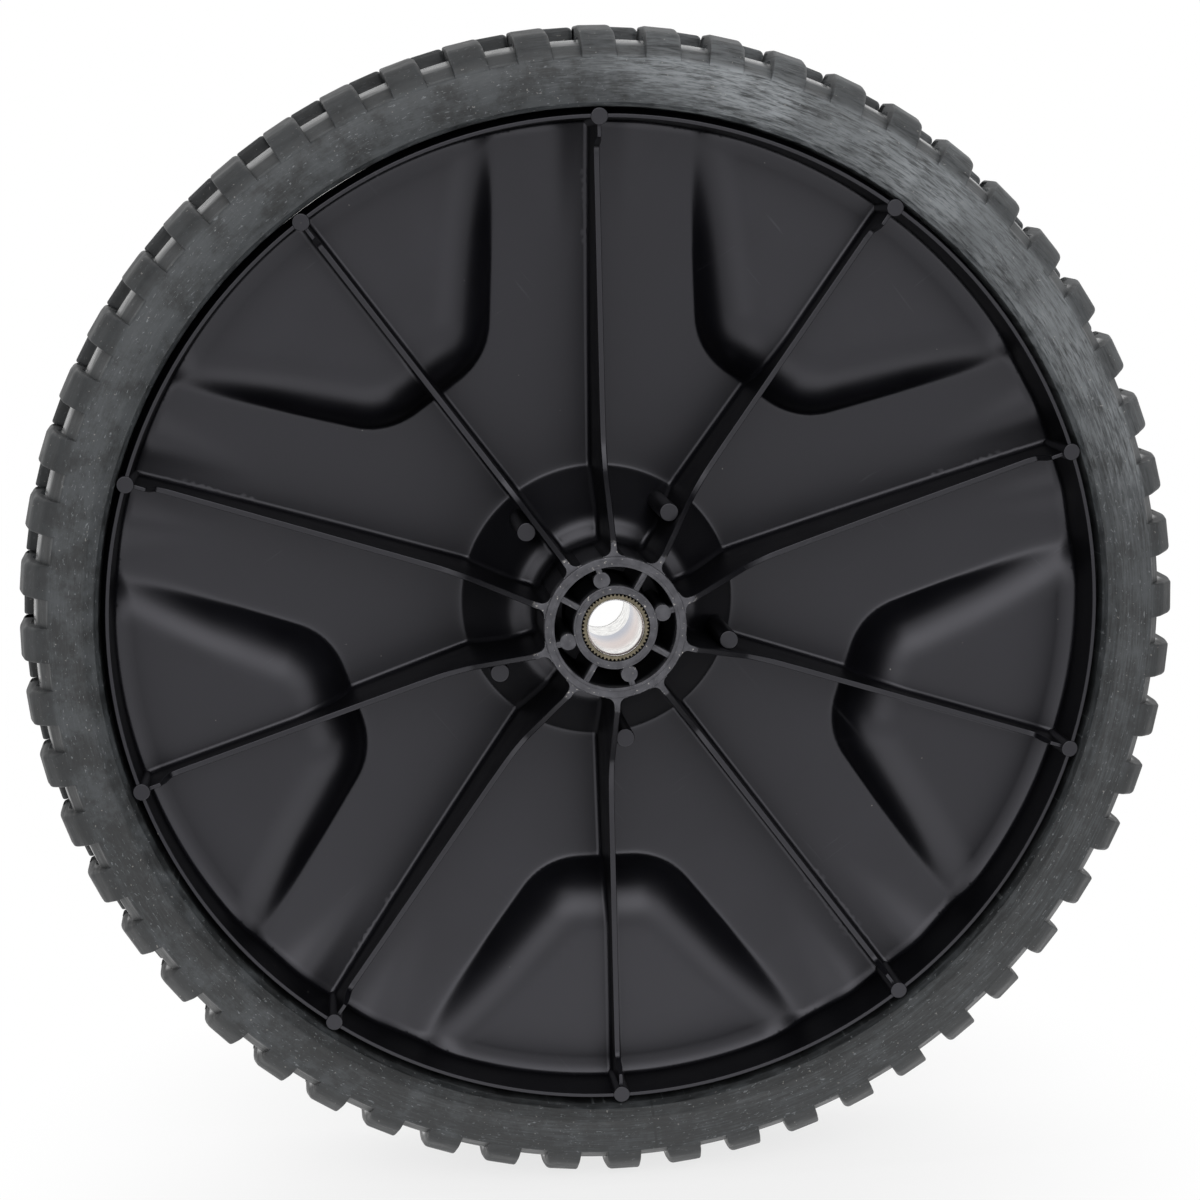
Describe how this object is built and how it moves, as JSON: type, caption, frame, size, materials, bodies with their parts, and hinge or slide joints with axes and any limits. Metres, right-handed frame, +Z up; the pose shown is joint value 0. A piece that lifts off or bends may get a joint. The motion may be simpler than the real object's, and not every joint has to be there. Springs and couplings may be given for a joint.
{
  "type": "lawn mower wheel",
  "caption": "Lawn mower wheel: ribbed plastic disc with raised window panels, a lugged rubber tyre and a knurled metal axle sleeve.",
  "frame": {"origin": "on the axle line, midway across the tyre's width", "axes": "+Y along the axle line towards the wheel's outer face, -Y towards the ribbed inner face, +Z up with the wheel upright"},
  "size_m": [0.2794, 0.056, 0.2794],
  "materials": {
    "disc_plastic": "satin moulded polypropylene",
    "tyre_rubber": "dull rubber with scuffed sidewalls",
    "sleeve_metal": "sintered bronze, bore polished"
  },
  "bodies": {
    "root": {"wheel_disc": "disc_plastic", "tyre": "tyre_rubber", "hub_sleeve": "sleeve_metal"}
  },
  "joints": []
}
